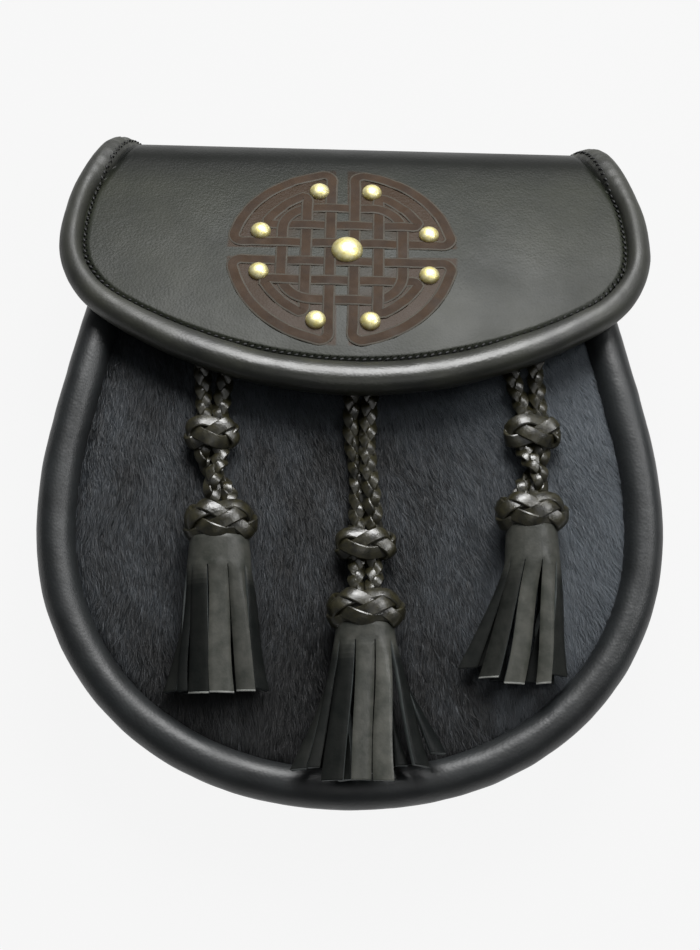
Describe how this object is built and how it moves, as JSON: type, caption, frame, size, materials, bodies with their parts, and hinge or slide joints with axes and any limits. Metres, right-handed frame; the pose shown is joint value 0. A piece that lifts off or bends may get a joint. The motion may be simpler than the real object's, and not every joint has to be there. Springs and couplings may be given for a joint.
{
  "type": "sporran pouch",
  "caption": "Kilt sporran lying on its back: rounded pouch with hair-on front in a padded roll, studded flap with interlace roundel, braided cords with slit leather tassels, strap loops behind.",
  "frame": {"origin": "on the floor under the middle of the object's box, the pouch lying on its back", "axes": "+Z out of the pouch's front face, +Y towards the ridge of the flap, +X to the right seen from the front with the flap up"},
  "size_m": [0.1894, 0.2289, 0.0538],
  "materials": {
    "black_leather": "satin, smooth grain",
    "flap_leather": "satin, fine grain",
    "hide": "short glossy hair",
    "braid": "glossy",
    "tassel_leather": "matte",
    "brass": "polished"
  },
  "bodies": {
    "root": {"back_panel": "black_leather", "gusset": "black_leather", "front_panel": "hide", "front_piping": "black_leather", "flap": "flap_leather", "flap_piping": "black_leather", "centre_stud": "brass", "ring_stud_1": "brass", "ring_stud_2": "brass", "ring_stud_3": "brass", "ring_stud_4": "brass", "ring_stud_5": "brass", "ring_stud_6": "brass", "ring_stud_7": "brass", "ring_stud_8": "brass", "press_stud": "brass", "strap_loop_left": "black_leather", "strap_loop_right": "black_leather", "left_cord_a": "braid", "left_cord_b": "braid", "left_slider_knot": "braid", "left_turks_head": "braid", "left_tassel_skirt": "tassel_leather", "centre_cord_a": "braid", "centre_cord_b": "braid", "centre_slider_knot": "braid", "centre_turks_head": "braid", "centre_tassel_skirt": "tassel_leather", "right_cord_a": "braid", "right_cord_b": "braid", "right_slider_knot": "braid", "right_turks_head": "braid", "right_tassel_skirt": "tassel_leather"}
  },
  "joints": []
}
